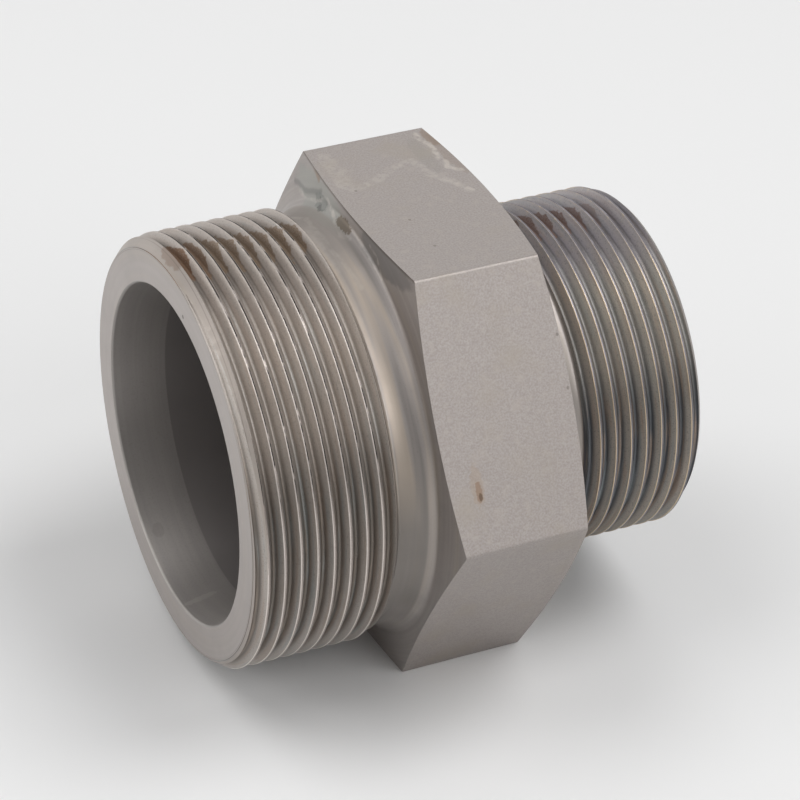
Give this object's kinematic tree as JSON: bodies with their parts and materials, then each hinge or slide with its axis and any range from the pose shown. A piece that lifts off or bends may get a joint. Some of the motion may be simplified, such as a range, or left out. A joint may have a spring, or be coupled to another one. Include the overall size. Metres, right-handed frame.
{
  "type": "hydraulic reducing adapter",
  "caption": "Straight male to male reducing adapter for hydraulic tube, turned from hexagon bar, with a threaded end and a tapered tube socket on each side.",
  "frame": {"origin": "on the flow axis, halfway between the two end faces", "axes": "+X along the flow axis towards the small end, +Z square to a flat of the hexagon and up, with the opposite flat down"},
  "size_m": [0.059, 0.0636, 0.055],
  "materials": {
    "turned_steel": "turned carbon steel with a thin phosphate and oil film, dulled, with faint brown stains"
  },
  "bodies": {
    "root": {"adapter_body": "turned_steel"}
  },
  "joints": []
}
